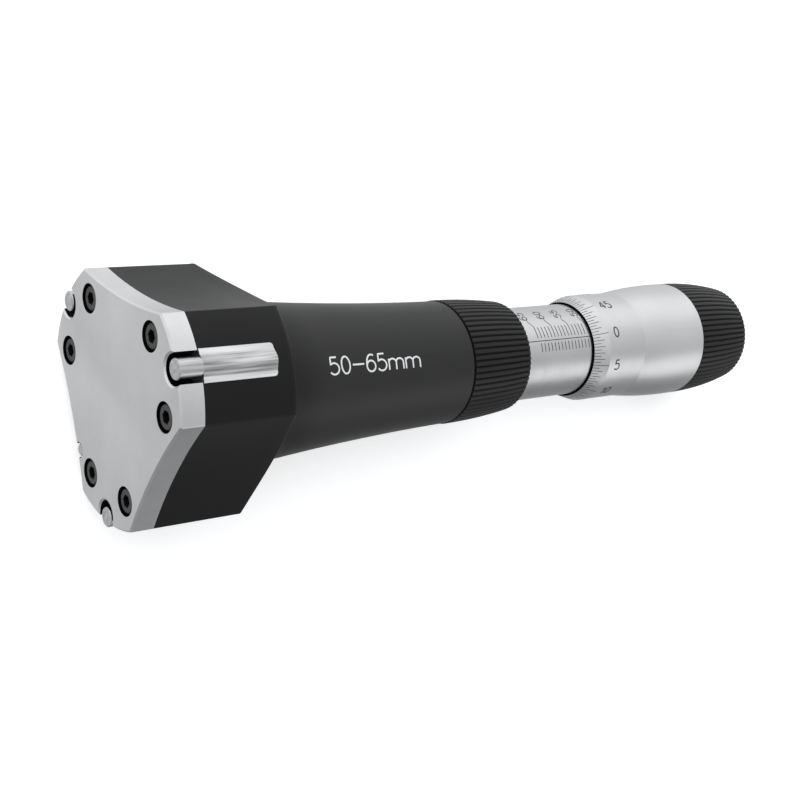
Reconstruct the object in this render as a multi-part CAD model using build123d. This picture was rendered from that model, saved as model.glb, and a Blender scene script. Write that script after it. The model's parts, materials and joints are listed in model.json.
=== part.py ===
from build123d import *

import os
from math import atan2, cos, degrees, radians, sin, sqrt

# Three-point bore micrometer for 50 to 65 mm, at its smallest reading.
# Lengths are in millimetres. +X runs along the tool from the front face to the tail,
# +Z is up through the top anvil, and the origin is the centre of the front face.
# A name that ends in _X is a place along the axis, one that ends in _R is a radius.

os.makedirs("parts", exist_ok=True)

# Measuring range
SMALLEST_BORE = 50.0
BORE_RANGE = 15.0  # from the smallest bore to the largest
CONE_SLOPE = 0.5  # anvil travel per unit of cone travel
ANVIL_COUNT = 3

# Clearances
RUNNING = 0.05  # radial, round what turns or slides
SEAT = 0.02  # radial, round what is pressed or screwed in
END_PLAY = 0.1  # along a sliding or turning piece
STOP_GAP = 0.5  # left at the end of a travel

# Springs, whose round wire is drawn with flats
WIRE_SIDES = 8

# Head
LOBE_CLEARANCE = 1.0  # radial, in the smallest bore
LOBE_HALF_ANGLE = 23.7  # degrees
SIDE_HOLLOW = 1.1  # depth of the hollow side between two lobes
HEAD_DEPTH = 22.6
HEAD_CORNER_FILLET = 0.5
HEAD_BACK_CHAMFER = 0.5
PLATE_THICKNESS = 4.5
PLATE_CHAMFER = 0.35
POCKET_WALL = 1.2  # what is left of the plate in front of the cone's pocket
POCKET_CLEARANCE = 0.4

# Neck
ROOT_FILLET = 2.8
NECK_FRONT_R = 15.35
NECK_MIDDLE_R = 13.73
NECK_MIDDLE_X = 46.0
NECK_BACK_R = 12.68
NECK_BACK_X = 72.6
NECK_BORE_R = 8.0
NECK_THREAD_R = 11.0
NECK_THREAD_LENGTH = 7.4
PILOT_R = 9.0
PILOT_LENGTH = 5.0
CAVITY_BACK_X = 46.0

# Cover screws, M2.5 socket heads in pairs beside each anvil
SCREW_INSET = 5.5  # from the lobes' outer face
SCREW_HALF_ANGLE = 21.7  # degrees
SCREW_HEAD_R = 2.25
SCREW_HEAD_HEIGHT = 2.5
SCREW_HEAD_CHAMFER = 0.2
SCREW_RECESS = 0.3
SCREW_SHANK_R = 1.25
SCREW_HOLE_CLEARANCE = 0.15
SCREW_DEPTH = 9.0
SCREW_SOCKET = 2.0  # across the flats
SCREW_SOCKET_DEPTH = 1.1
COUNTERBORE_R = 2.7

# Locating dowel, whose hole breaks out through the hollow side underneath
DOWEL_R = 1.3
DOWEL_HOLE_R = 1.5
DOWEL_INSET = 5.07  # from the lobes' outer circle
DOWEL_ANGLE = 249.3  # degrees from +Y towards +Z
DOWEL_RECESS = 0.3
DOWEL_LENGTH = 10.0

# Anvils
ANVIL_WIDTH = 5.8
ANVIL_BACK_X = 18.9
ANVIL_TOP_DROP = 0.7  # from the pin's outermost line to the anvil's top
ANVIL_INNER_R = 2.2
ANVIL_CORNER_FILLET = 0.7
PIN_R = 1.85
PIN_RECESS = 0.2
PIN_CHAMFER = 0.15
NOTCH_WIDTH = 5.4
NOTCH_DEPTH = 4.0

# Anvil return springs, each between a post on the plate and its anvil
SPRING_SLOT_WIDTH = 3.0
SPRING_SLOT_DEPTH = 3.4
SPRING_SLOT_INNER_R = 6.0
POST_R = 1.0
POST_INSET = 6.1  # from the lobes' outer face
POST_SEAT = 2.0
POST_CLEARANCE = 0.25
ANVIL_SPRING_R = 1.05
ANVIL_WIRE_R = 0.2
ANVIL_SPRING_TURNS = 7

# Cone, drive rod and what guides them
CONE_R = 11.5
CONE_NOSE_CHAMFER = 0.4
CONE_BACK_GAP = 0.8
ROD_R = 4.0
ROD_THREAD_R = 3.0
ROD_THREAD_LENGTH = 11.0
ROD_FLANGE_R = 6.9
ROD_FLANGE_THICKNESS = 3.0
ROD_TAIL = 4.0
BUSH_LENGTH = 10.0
BUSH_FLANGE_R = 9.8
BUSH_FLANGE_THICKNESS = 1.0
KEY_WIDTH = 2.0
KEY_HEIGHT = 1.9
KEY_IN_ROD = 0.9
KEY_LENGTH = 8.0
KEY_BOTTOM_GAP = 0.1
CONE_SPRING_R = 6.0
CONE_WIRE_R = 0.45
CONE_SPRING_TURNS = 7
BALL_R = 2.5
BALL_SEAT = 1.3  # how deep the ball sits in the rod

# Collar
COLLAR_GROOVE = 0.4
COLLAR_LENGTH = 16.2
COLLAR_FRONT_R = 12.85
COLLAR_MIDDLE_R = 12.5
COLLAR_MIDDLE = 8.8
COLLAR_BACK_R = 11.7
COLLAR_BACK_FILLET = 0.4

# Sleeve
SLEEVE_R = 10.05
SLEEVE_BORE_R = 7.6
SLEEVE_FLANGE_R = 10.9
SLEEVE_FLANGE_THICKNESS = 2.0
SLEEVE_SHOWN = 4.7  # still in sight at the largest bore
SLEEVE_LAP = 11.9

# Nut in the sleeve
NUT_R = 7.0
NUT_BORE_R = 4.05
NUT_LENGTH = 20.5
NUT_TAIL = 4.7
NUT_TAIL_R = 6.2
NUT_FLANGE_R = 8.6
NUT_FLANGE_THICKNESS = 0.8
NUT_SLIT = 0.8
NUT_SLIT_LENGTH = 9.0
NUT_SLIT_COUNT = 3
ADJUSTER_THICKNESS = 3.4
ADJUSTER_SLOT = 1.6

# Thimble
THIMBLE_CLEARANCE = 0.1
THIMBLE_LIP = 0.25
THIMBLE_SCALE_R = 11.77
THIMBLE_BEVEL = 3.9
THIMBLE_SCALE_LENGTH = 15.1
THIMBLE_GRIP_MIDDLE = 23.1
THIMBLE_GRIP_MIDDLE_R = 12.66
THIMBLE_BACK_R = 12.95
THIMBLE_TAIL_R = 9.45
THIMBLE_TAIL = 4.6
WEB_TO_BACK = 1.4

# Spindle
SPINDLE_NOSE = 9.25
SPINDLE_NOSE_R = 3.2
SPINDLE_SEAT_R = 3.6
SPINDLE_TAIL_R = 3.0
LOCK_NUT_R = 6.5
LOCK_NUT_THICKNESS = 2.6
LOCK_NUT_SLOT = 1.8

# Ratchet in the end cap
CAP_GAP = 0.2
CAP_LENGTH = 18.8
CAP_FRONT_R = 12.95
CAP_MIDDLE = 9.4
CAP_MIDDLE_R = 12.47
CAP_EDGE = 17.4
CAP_EDGE_R = 11.1
CAP_END_R = 9.6
CAP_FLOOR_GAP = 0.3
WHEEL_R = 8.2
WHEEL_THICKNESS = 2.6
WHEEL_TEETH = 24
TOOTH_DEPTH = 0.55
TOOTH_WIDTH = 1.1
PLUNGER_CIRCLE_R = 6.0
PLUNGER_R = 1.3
PLUNGER_LENGTH = 3.4
PLUNGER_SPRING_R = 0.85
PLUNGER_WIRE_R = 0.18
PLUNGER_SPRING_TURNS = 4
CAP_SCREW_HEAD_R = 3.8
CAP_SCREW_HEAD_HEIGHT = 2.0
CAP_SCREW_SHOULDER_R = 2.2
CAP_SCREW_THREAD_R = 1.25
CAP_SCREW_THREAD_LENGTH = 7.0
CAP_SCREW_SOCKET = 3.0
CAP_SCREW_SOCKET_DEPTH = 1.3
CAP_RECESS = 2.6

# Flutes of the collar and the end cap
FLUTE_COUNT = 64
FLUTE_DEPTH = 0.38
FLUTE_WIDTH = 0.62

# Travels
anvil_travel = BORE_RANGE / 2
cone_travel = anvil_travel / CONE_SLOPE

# Places round the head, which follow from the smallest bore
lobe_r = SMALLEST_BORE / 2 - LOBE_CLEARANCE
anvil_top_r = SMALLEST_BORE / 2 - ANVIL_TOP_DROP
pin_centre_r = SMALLEST_BORE / 2 - PIN_R
notch_floor_r = lobe_r - NOTCH_DEPTH
screw_circle_r = lobe_r - SCREW_INSET
post_centre_r = lobe_r - POST_INSET
dowel_circle_r = lobe_r - DOWEL_INSET

# Places along the axis, from the head to the tail
anvil_front_x = PLATE_THICKNESS + END_PLAY
slot_back_x = ANVIL_BACK_X + END_PLAY
cone_nose_x = POCKET_WALL + POCKET_CLEARANCE + cone_travel
cone_full_x = ANVIL_BACK_X + cone_travel
cone_apex_x = cone_full_x - CONE_R / CONE_SLOPE
cone_back_x = CAVITY_BACK_X - BUSH_FLANGE_THICKNESS - CONE_BACK_GAP
bush_back_x = CAVITY_BACK_X + BUSH_LENGTH
collar_front_x = NECK_BACK_X + COLLAR_GROOVE
collar_back_x = collar_front_x + COLLAR_LENGTH
neck_end_x = NECK_BACK_X + NECK_THREAD_LENGTH
sleeve_flange_back_x = neck_end_x + SLEEVE_FLANGE_THICKNESS
thimble_front_x = collar_back_x + cone_travel + SLEEVE_SHOWN
sleeve_back_x = thimble_front_x + SLEEVE_LAP
nut_back_x = sleeve_back_x + NUT_TAIL
nut_front_x = nut_back_x - NUT_LENGTH
spindle_front_x = nut_front_x - SPINDLE_NOSE
rod_back_x = spindle_front_x - RUNNING - 2 * BALL_R + BALL_SEAT
rod_flange_back_x = rod_back_x - ROD_TAIL
rod_flange_front_x = rod_flange_back_x - ROD_FLANGE_THICKNESS
web_front_x = nut_back_x + cone_travel + STOP_GAP
thimble_back_x = web_front_x + WEB_TO_BACK
thimble_tail_x = thimble_back_x + THIMBLE_TAIL
wheel_front_x = thimble_tail_x + LOCK_NUT_THICKNESS
spindle_back_x = wheel_front_x + WHEEL_THICKNESS
cap_front_x = thimble_back_x + CAP_GAP
cap_floor_x = spindle_back_x + CAP_FLOOR_GAP
cap_back_x = cap_front_x + CAP_LENGTH
cap_recess_x = cap_back_x - CAP_RECESS
plunger_tip_x = spindle_back_x - TOOTH_DEPTH + END_PLAY
plunger_back_x = plunger_tip_x + PLUNGER_LENGTH
plunger_hole_back_x = cap_recess_x - STOP_GAP


# Shared shapes


def disc(front_x, back_x, radius):
    """A solid round piece on the tool's axis."""
    return extrude(Plane.YZ.offset(front_x) * Circle(radius), back_x - front_x)


def turned(outline):
    """A piece turned about the axis from a closed outline of (x, radius)."""
    return revolve(make_face(Plane.XZ * outline), Axis.X)


def bar(front_x, back_x, width, bottom, top):
    """A straight-sided bar centred on Y = 0, from bottom to top in Z."""
    size = (back_x - front_x, width, top - bottom)
    centre = ((front_x + back_x) / 2, 0, (bottom + top) / 2)
    return Pos(*centre) * Box(*size)


def round_bar(front_x, back_x, radius, height):
    """A round bar along X whose centre line is at Z = height."""
    return Pos(0, 0, height) * disc(front_x, back_x, radius)


def about_axis(shape, angle):
    """The shape turned about the tool's axis, in degrees."""
    return Rot(angle, 0, 0) * shape


def around(shape, count):
    """Equal copies of the shape around the tool's axis."""
    return [about_axis(shape, 360 * index / count) for index in range(count)]


def one_solid(shape):
    """The single solid of a finished piece."""
    return shape.solids()[0] if len(shape.solids()) == 1 else shape


def polar(radius, angle):
    """A point of the front view, with the angle in degrees from +Y towards +Z."""
    return (radius * cos(radians(angle)), radius * sin(radians(angle)))


def head_outline():
    """The front view of the head: three rounded lobes with hollow sides between."""
    step = 360 / ANVIL_COUNT
    side_r = lobe_r * cos(radians(step / 2 - LOBE_HALF_ANGLE)) - SIDE_HOLLOW
    outline = Curve()
    for index in range(ANVIL_COUNT):
        tip = 90 + step * index
        lobe_start = polar(lobe_r, tip - LOBE_HALF_ANGLE)
        lobe_end = polar(lobe_r, tip + LOBE_HALF_ANGLE)
        next_lobe = polar(lobe_r, tip + step - LOBE_HALF_ANGLE)
        outline += ThreePointArc(lobe_start, polar(lobe_r, tip), lobe_end)
        outline += ThreePointArc(lobe_end, polar(side_r, tip + step / 2), next_lobe)
    face = make_face(outline)
    return fillet(face.vertices(), HEAD_CORNER_FILLET)


def fluted(blank, arc):
    """The blank with straight flutes that follow the arc of its outer face."""
    centre = arc.arc_center
    start = (arc @ 0) - centre
    end = (arc @ 1) - centre
    overrun = degrees(FLUTE_WIDTH / arc.radius)
    start_angle = degrees(atan2(start.X, start.Y)) - overrun
    end_angle = degrees(atan2(end.X, end.Y)) + overrun
    tilt = radians(start_angle)
    section_plane = Plane(
        origin=(centre.X, 0, centre.Y), x_dir=(0, 1, 0), z_dir=(cos(tilt), 0, -sin(tilt))
    )
    section = Polyline(
        (0, arc.radius - FLUTE_DEPTH),
        (FLUTE_WIDTH, arc.radius + FLUTE_DEPTH),
        (-FLUTE_WIDTH, arc.radius + FLUTE_DEPTH),
        close=True,
    )
    face = make_face(section_plane * section)
    path_axis = Axis((centre.X, 0, centre.Y), (0, 1, 0))
    cutter = revolve(face, path_axis, revolution_arc=end_angle - start_angle)
    return blank - around(cutter, FLUTE_COUNT)


def coil_spring(start, direction, length, coil_r, wire_r, turns):
    """A coil spring from start along direction, with its wire inside that length."""
    height = length - 2 * wire_r
    along = Vector(*direction).normalized()
    first = Vector(*start) + along * wire_r
    path = Helix(height / turns, height, coil_r, center=first, direction=along)
    section = Plane(origin=path @ 0, z_dir=path % 0) * RegularPolygon(wire_r, WIRE_SIDES)
    return sweep(section, path)


def hex_socket(front_x, depth, across, y=0.0, z=0.0):
    """The cutter for a hexagon socket that opens towards +X or -X."""
    corner_r = across / sqrt(3)
    sketch = Plane.YZ.offset(front_x) * Pos(y, z) * RegularPolygon(corner_r, 6)
    return extrude(sketch, depth)


# Head pieces


def anvil_slot():
    """The straight slot that one anvil slides in, open at the front and outwards."""
    width = ANVIL_WIDTH + 2 * RUNNING
    cutter = bar(PLATE_THICKNESS, slot_back_x, width, 0, lobe_r + STOP_GAP)
    back_edges = cutter.edges().filter_by(Axis.Z).group_by(Axis.X)[-1]
    return fillet(back_edges, ANVIL_CORNER_FILLET - END_PLAY)


def screw_places():
    """The (y, z) centre of each cover screw."""
    places = []
    for index in range(ANVIL_COUNT):
        tip = 90 + 360 * index / ANVIL_COUNT
        for side in (-1, 1):
            places.append(polar(screw_circle_r, tip + side * SCREW_HALF_ANGLE))
    return places


def dowel_place():
    """Where the dowel's centre line crosses the front view."""
    return Pos(0, *polar(dowel_circle_r, DOWEL_ANGLE))


def head_body():
    """The lobed head and its tapering neck, bored through for the cone and the rod."""
    lobes = extrude(Plane.YZ.offset(PLATE_THICKNESS) * head_outline(), HEAD_DEPTH - PLATE_THICKNESS)
    lobes = chamfer(lobes.faces().sort_by(Axis.X)[-1].edges(), HEAD_BACK_CHAMFER)
    root_x = HEAD_DEPTH + ROOT_FILLET
    root_centre = (root_x, NECK_FRONT_R + ROOT_FILLET)
    middle = ROOT_FILLET * sqrt(0.5)
    outline = Polyline((PLATE_THICKNESS, 0), (PLATE_THICKNESS, NECK_FRONT_R))
    outline += Polyline(
        (PLATE_THICKNESS, NECK_FRONT_R),
        (HEAD_DEPTH, NECK_FRONT_R),
        (HEAD_DEPTH, NECK_FRONT_R + ROOT_FILLET),
    )
    outline += ThreePointArc(
        (HEAD_DEPTH, NECK_FRONT_R + ROOT_FILLET),
        (root_centre[0] - middle, root_centre[1] - middle),
        (root_x, NECK_FRONT_R),
    )
    outline += ThreePointArc(
        (root_x, NECK_FRONT_R), (NECK_MIDDLE_X, NECK_MIDDLE_R), (NECK_BACK_X, NECK_BACK_R)
    )
    outline += Polyline(
        (NECK_BACK_X, NECK_BACK_R),
        (NECK_BACK_X, NECK_THREAD_R),
        (neck_end_x, NECK_THREAD_R),
        (neck_end_x, 0),
        (PLATE_THICKNESS, 0),
    )
    body = lobes + turned(outline)
    body -= disc(PLATE_THICKNESS, CAVITY_BACK_X, CONE_R + RUNNING)
    body -= disc(CAVITY_BACK_X, neck_end_x, NECK_BORE_R)
    body -= disc(neck_end_x - PILOT_LENGTH, neck_end_x, PILOT_R)
    body -= around(anvil_slot(), ANVIL_COUNT)
    thread_back_x = SCREW_RECESS + SCREW_HEAD_HEIGHT + SCREW_DEPTH + STOP_GAP
    for y, z in screw_places():
        body -= Pos(0, y, z) * disc(PLATE_THICKNESS, thread_back_x, SCREW_SHANK_R + SEAT)
    dowel_back_x = DOWEL_RECESS + DOWEL_LENGTH + STOP_GAP
    body -= dowel_place() * disc(PLATE_THICKNESS, dowel_back_x, DOWEL_R + SEAT)
    return body


def front_plate():
    """The steel cover, with a notch for each anvil's pin and counterbored screw holes."""
    plate = extrude(Plane.YZ * head_outline(), PLATE_THICKNESS)
    notch_end_r = notch_floor_r + NOTCH_WIDTH / 2
    notch = bar(0, PLATE_THICKNESS, NOTCH_WIDTH, notch_end_r, lobe_r + STOP_GAP)
    notch += round_bar(0, PLATE_THICKNESS, NOTCH_WIDTH / 2, notch_end_r)
    plate -= around(notch, ANVIL_COUNT)
    rim = plate.faces().sort_by(Axis.X)[0].outer_wire().edges()
    plate = chamfer(rim, PLATE_CHAMFER)
    seat_x = SCREW_RECESS + SCREW_HEAD_HEIGHT
    for y, z in screw_places():
        plate -= Pos(0, y, z) * disc(0, seat_x, COUNTERBORE_R)
        plate -= Pos(0, y, z) * disc(0, PLATE_THICKNESS, SCREW_SHANK_R + SCREW_HOLE_CLEARANCE)
    plate -= dowel_place() * disc(0, PLATE_THICKNESS, DOWEL_HOLE_R)
    pocket_r = CONE_SLOPE * (cone_nose_x - cone_apex_x) + POCKET_CLEARANCE
    pocket_depth_r = pocket_r + CONE_SLOPE * (PLATE_THICKNESS - POCKET_WALL)
    pocket = Polyline(
        (POCKET_WALL, 0),
        (POCKET_WALL, pocket_r),
        (PLATE_THICKNESS, pocket_depth_r),
        (PLATE_THICKNESS, 0),
        (POCKET_WALL, 0),
    )
    plate -= turned(pocket)
    post_hole = round_bar(PLATE_THICKNESS - POST_SEAT, PLATE_THICKNESS, POST_R, post_centre_r)
    return plate - around(post_hole, ANVIL_COUNT)


def cover_screws():
    """Six socket head screws that hold the cover plate."""
    seat_x = SCREW_RECESS + SCREW_HEAD_HEIGHT
    screws = []
    for y, z in screw_places():
        head = disc(SCREW_RECESS, seat_x, SCREW_HEAD_R)
        head = chamfer(head.edges().sort_by(Axis.X)[0], SCREW_HEAD_CHAMFER)
        shank = disc(seat_x, seat_x + SCREW_DEPTH, SCREW_SHANK_R)
        screw = Pos(0, y, z) * (head + shank)
        screws.append(screw - hex_socket(SCREW_RECESS, SCREW_SOCKET_DEPTH, SCREW_SOCKET, y, z))
    return Compound(children=[screw.solids()[0] for screw in screws])


def plate_dowel():
    """The dowel that locates the plate on the head."""
    dowel = disc(DOWEL_RECESS, DOWEL_RECESS + DOWEL_LENGTH, DOWEL_R)
    dowel = chamfer(dowel.edges().filter_by(GeomType.CIRCLE), DOWEL_RECESS)
    return dowel_place() * dowel


def spring_post():
    """The post in the plate that an anvil's return spring pushes against."""
    return round_bar(
        PLATE_THICKNESS - POST_SEAT,
        anvil_front_x + SPRING_SLOT_DEPTH - STOP_GAP,
        POST_R,
        post_centre_r,
    )


def anvil_block():
    """One anvil: a flat slide with a face that the cone pushes, under its pin."""
    face_gap = RUNNING
    face_front_x = cone_apex_x + (ANVIL_INNER_R - face_gap) / CONE_SLOPE
    face_back_r = CONE_SLOPE * (ANVIL_BACK_X - cone_apex_x) + face_gap
    side = Polyline(
        (anvil_front_x, ANVIL_INNER_R),
        (face_front_x, ANVIL_INNER_R),
        (ANVIL_BACK_X, face_back_r),
        (ANVIL_BACK_X, lobe_r + STOP_GAP),
        (anvil_front_x, lobe_r + STOP_GAP),
        close=True,
    )
    block = extrude(make_face(Plane.XZ * side), ANVIL_WIDTH / 2, both=True)
    back_edges = block.edges().filter_by(Axis.Z).group_by(Axis.X)[-1]
    block = fillet(back_edges, ANVIL_CORNER_FILLET)
    block = block & disc(anvil_front_x, ANVIL_BACK_X, anvil_top_r)
    block -= round_bar(anvil_front_x, ANVIL_BACK_X, PIN_R + SEAT, pin_centre_r)
    slot_outer_r = post_centre_r + POST_R + POST_CLEARANCE
    slot_back = anvil_front_x + SPRING_SLOT_DEPTH
    block -= bar(anvil_front_x, slot_back, SPRING_SLOT_WIDTH, SPRING_SLOT_INNER_R, slot_outer_r)
    return block


def anvil_pin():
    """The hard measuring pin along an anvil's outer face, reaching the front face."""
    pin = round_bar(PIN_RECESS, ANVIL_BACK_X - PIN_RECESS, PIN_R, pin_centre_r)
    return chamfer(pin.edges().filter_by(GeomType.CIRCLE), PIN_CHAMFER)


def anvil_spring():
    """The coil that pulls an anvil back as it pushes off the post."""
    coil_x = anvil_front_x + SPRING_SLOT_DEPTH / 2
    length = post_centre_r - POST_R - SPRING_SLOT_INNER_R - 2 * END_PLAY
    start = (coil_x, 0, SPRING_SLOT_INNER_R + END_PLAY)
    return coil_spring(
        start, (0, 0, 1), length, ANVIL_SPRING_R, ANVIL_WIRE_R, ANVIL_SPRING_TURNS
    )


# Drive pieces


def drive_cone():
    """The cone that spreads the anvils, with a land that runs in the head's bore."""
    nose_r = CONE_SLOPE * (cone_nose_x - cone_apex_x)
    outline = Polyline(
        (cone_nose_x, 0),
        (cone_nose_x, nose_r - CONE_NOSE_CHAMFER),
        (cone_nose_x + CONE_NOSE_CHAMFER, nose_r + CONE_SLOPE * CONE_NOSE_CHAMFER),
        (cone_full_x, CONE_R),
        (cone_back_x, CONE_R),
        (cone_back_x, 0),
        (cone_nose_x, 0),
    )
    return turned(outline) - disc(cone_back_x - ROD_THREAD_LENGTH, cone_back_x, ROD_THREAD_R + SEAT)


def drive_rod():
    """The rod from the spindle to the cone, with a keyway and a flange for its spring."""
    rod = disc(cone_back_x - ROD_THREAD_LENGTH, cone_back_x, ROD_THREAD_R)
    rod += disc(cone_back_x, rod_back_x, ROD_R)
    rod += disc(rod_flange_front_x, rod_flange_back_x, ROD_FLANGE_R)
    ball_x = rod_back_x + BALL_R - BALL_SEAT
    rod -= Pos(ball_x, 0, 0) * Sphere(BALL_R + SEAT)
    key_front_x = bush_back_x - KEY_LENGTH
    keyway = bar(
        key_front_x - STOP_GAP,
        bush_back_x + cone_travel + STOP_GAP,
        KEY_WIDTH + 2 * RUNNING,
        ROD_R - KEY_IN_ROD - KEY_BOTTOM_GAP,
        ROD_R + STOP_GAP,
    )
    return rod - keyway


def rod_bush():
    """The flanged bush in the neck that guides the rod."""
    bush = disc(CAVITY_BACK_X - BUSH_FLANGE_THICKNESS, CAVITY_BACK_X, BUSH_FLANGE_R)
    bush += disc(CAVITY_BACK_X, bush_back_x, NECK_BORE_R - SEAT)
    bush -= disc(CAVITY_BACK_X - BUSH_FLANGE_THICKNESS, bush_back_x, ROD_R + RUNNING)
    key_top = ROD_R - KEY_IN_ROD + KEY_HEIGHT
    key_front_x = bush_back_x - KEY_LENGTH
    return bush - bar(key_front_x, bush_back_x, KEY_WIDTH, 0, key_top)


def guide_key():
    """The key in the bush that stops the rod from turning."""
    key_bottom = ROD_R - KEY_IN_ROD
    return bar(bush_back_x - KEY_LENGTH, bush_back_x, KEY_WIDTH, key_bottom, key_bottom + KEY_HEIGHT)


def cone_spring():
    """The coil round the rod that draws the cone back."""
    length = rod_flange_front_x - bush_back_x - 2 * END_PLAY
    start = (bush_back_x + END_PLAY, 0, 0)
    return coil_spring(start, (1, 0, 0), length, CONE_SPRING_R, CONE_WIRE_R, CONE_SPRING_TURNS)


def thrust_ball():
    """The ball between the rod, which slides, and the spindle, which turns."""
    return Pos(rod_back_x + BALL_R - BALL_SEAT, 0, 0) * Sphere(BALL_R)


# Sleeve pieces


def collar():
    """The fluted ring nut that clamps the sleeve to the neck."""
    arc = ThreePointArc(
        (collar_front_x, COLLAR_FRONT_R),
        (collar_front_x + COLLAR_MIDDLE, COLLAR_MIDDLE_R),
        (collar_back_x, COLLAR_BACK_R),
    )
    inner_r = SLEEVE_R + RUNNING
    thread_r = NECK_THREAD_R + SEAT
    inside = Polyline(
        (collar_back_x, COLLAR_BACK_R),
        (collar_back_x, inner_r),
        (sleeve_flange_back_x, inner_r),
        (sleeve_flange_back_x, thread_r),
        (collar_front_x, thread_r),
        (collar_front_x, COLLAR_FRONT_R),
    )
    blank = turned(arc + inside)
    back_face = blank.faces().filter_by(GeomType.PLANE).sort_by(Axis.X)[-1]
    blank = fillet(back_face.outer_wire().edges(), COLLAR_BACK_FILLET)
    return fluted(blank, arc)


def sleeve():
    """The graduated sleeve, with a flange under the collar and a pilot in the neck."""
    outline = Polyline(
        (neck_end_x - PILOT_LENGTH, SLEEVE_BORE_R),
        (neck_end_x - PILOT_LENGTH, PILOT_R - SEAT),
        (neck_end_x, PILOT_R - SEAT),
        (neck_end_x, SLEEVE_FLANGE_R),
        (sleeve_flange_back_x, SLEEVE_FLANGE_R),
        (sleeve_flange_back_x, SLEEVE_R),
        (sleeve_back_x, SLEEVE_R),
        (sleeve_back_x, NUT_R + SEAT),
        (nut_front_x, NUT_R + SEAT),
        (nut_front_x, SLEEVE_BORE_R),
        close=True,
    )
    return turned(outline)


def spindle_nut():
    """The split nut in the sleeve, whose slit tail the adjuster closes."""
    flange_back_x = sleeve_back_x + NUT_FLANGE_THICKNESS
    nut = disc(nut_front_x, sleeve_back_x, NUT_R)
    nut += disc(sleeve_back_x, flange_back_x, NUT_FLANGE_R)
    nut += disc(flange_back_x, nut_back_x, NUT_TAIL_R)
    nut -= disc(nut_front_x, nut_back_x, NUT_BORE_R)
    slit = bar(nut_back_x - NUT_SLIT_LENGTH, nut_back_x, NUT_SLIT, 0, NUT_FLANGE_R + STOP_GAP)
    return nut - around(slit, NUT_SLIT_COUNT)


def adjuster():
    """The slotted ring on the nut's tail that takes up its wear."""
    front_x = sleeve_back_x + NUT_FLANGE_THICKNESS
    ring = disc(front_x, front_x + ADJUSTER_THICKNESS, NUT_FLANGE_R)
    ring -= disc(front_x, front_x + ADJUSTER_THICKNESS, NUT_TAIL_R + SEAT)
    slot_front_x = front_x + ADJUSTER_THICKNESS / 2
    slot = bar(slot_front_x, nut_back_x, ADJUSTER_SLOT, -NUT_FLANGE_R, NUT_FLANGE_R)
    return ring - slot


# Thimble pieces


def spindle():
    """The micrometer screw, with a nose for the ball and a seat for the thimble."""
    screw = disc(spindle_front_x, nut_front_x - STOP_GAP, SPINDLE_NOSE_R)
    screw += disc(nut_front_x - STOP_GAP, web_front_x, NUT_BORE_R - RUNNING)
    screw += disc(web_front_x, thimble_tail_x, SPINDLE_SEAT_R)
    screw += disc(thimble_tail_x, spindle_back_x, SPINDLE_TAIL_R)
    hole_front_x = spindle_back_x - CAP_SCREW_THREAD_LENGTH - STOP_GAP
    return screw - disc(hole_front_x, spindle_back_x, CAP_SCREW_THREAD_R + SEAT)


def thimble():
    """The graduated thimble, bevelled in front and swelling to the end cap."""
    bore_r = SLEEVE_R + THIMBLE_CLEARANCE
    scale_end_x = thimble_front_x + THIMBLE_SCALE_LENGTH
    grip = ThreePointArc(
        (scale_end_x, THIMBLE_SCALE_R),
        (thimble_front_x + THIMBLE_GRIP_MIDDLE, THIMBLE_GRIP_MIDDLE_R),
        (thimble_back_x, THIMBLE_BACK_R),
    )
    front = Polyline(
        (thimble_front_x, bore_r),
        (thimble_front_x, bore_r + THIMBLE_LIP),
        (thimble_front_x + THIMBLE_BEVEL, THIMBLE_SCALE_R),
        (scale_end_x, THIMBLE_SCALE_R),
    )
    back = Polyline(
        (thimble_back_x, THIMBLE_BACK_R),
        (thimble_back_x, THIMBLE_TAIL_R),
        (thimble_tail_x, THIMBLE_TAIL_R),
        (thimble_tail_x, SPINDLE_SEAT_R + SEAT),
        (web_front_x, SPINDLE_SEAT_R + SEAT),
        (web_front_x, bore_r),
        (thimble_front_x, bore_r),
    )
    return turned(front + grip + back)


def lock_nut():
    """The slotted nut that holds the thimble on the spindle."""
    nut = disc(thimble_tail_x, wheel_front_x, LOCK_NUT_R)
    nut -= disc(thimble_tail_x, wheel_front_x, SPINDLE_TAIL_R + SEAT)
    slot_front_x = wheel_front_x - LOCK_NUT_THICKNESS / 2
    return nut - bar(slot_front_x, wheel_front_x, LOCK_NUT_SLOT, -LOCK_NUT_R, LOCK_NUT_R)


def ratchet_wheel():
    """The disc on the spindle whose back is cut with a ring of radial teeth."""
    wheel = disc(wheel_front_x, spindle_back_x, WHEEL_R)
    wheel -= disc(wheel_front_x, spindle_back_x, SPINDLE_TAIL_R + SEAT)
    valley = Polyline(
        (spindle_back_x - TOOTH_DEPTH, 0),
        (spindle_back_x + TOOTH_DEPTH, TOOTH_WIDTH),
        (spindle_back_x + TOOTH_DEPTH, -TOOTH_WIDTH),
        close=True,
    )
    inner_r = PLUNGER_CIRCLE_R - PLUNGER_R - RUNNING
    cutter = extrude(make_face(Plane.XY.offset(inner_r) * valley), WHEEL_R)
    return wheel - around(cutter, WHEEL_TEETH)


# End cap pieces


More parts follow.
